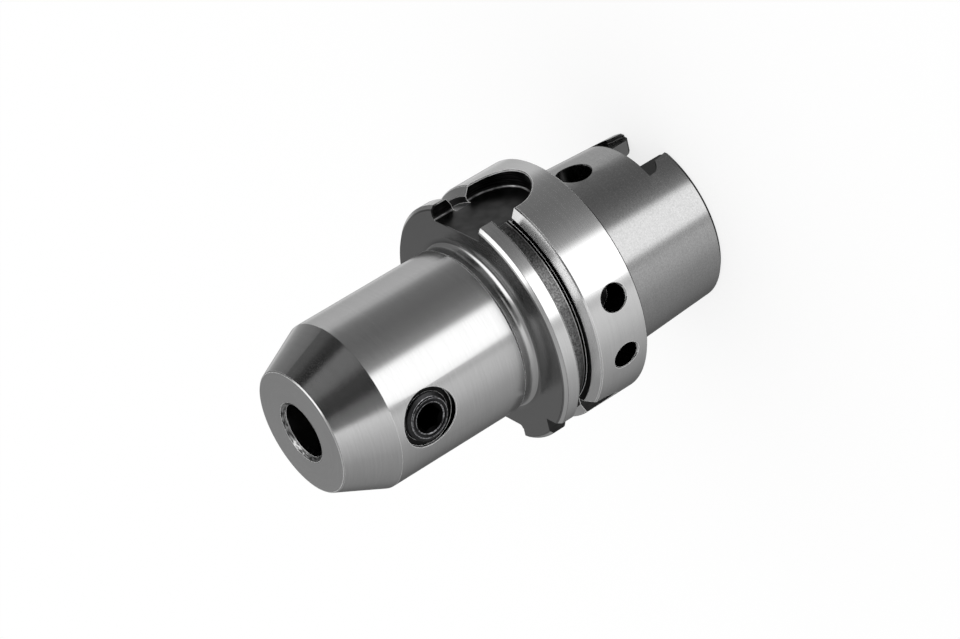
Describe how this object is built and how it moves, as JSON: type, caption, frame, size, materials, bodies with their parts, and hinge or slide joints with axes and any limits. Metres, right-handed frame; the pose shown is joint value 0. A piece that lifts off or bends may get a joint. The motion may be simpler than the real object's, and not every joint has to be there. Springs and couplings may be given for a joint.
{
  "type": "side lock end mill holder",
  "caption": "Side lock end mill holder: hollow taper shank, flange with gripper groove and keyways, cylindrical nose with a bore that a set screw clamps, and a coolant tube in the shank.",
  "frame": {"origin": "centre of the gauge plane, the flange's rear face that seats on the spindle, on the spindle axis", "axes": "+Z along the spindle axis out of the tool bore, +X towards the wide keyway; the clamp screw is on -Y"},
  "size_m": [0.063, 0.063, 0.112],
  "materials": {
    "ground_steel": "ground",
    "black_oxide_steel": "black oxide",
    "turned_steel": "fine turned",
    "seal_rubber": "moulded"
  },
  "bodies": {
    "holder": {"holder_body": "ground_steel", "coolant_union_nut": "turned_steel", "seat_o_ring": "seal_rubber", "nut_o_ring": "seal_rubber"},
    "screw": {"clamp_screw": "black_oxide_steel"},
    "tube": {"coolant_tube": "turned_steel"}
  },
  "joints": [
    {"name": "screw_travel", "type": "slide", "parent": "holder", "child": "screw", "axis": [0, -1, 0], "range_m": [-0.00205, 0.007]},
    {"name": "tube_float", "type": "hinge", "parent": "holder", "child": "tube", "pos_m": [0, 0, 0.0076], "axis": [0, 1, 0], "range_deg": [-1, 1]}
  ]
}
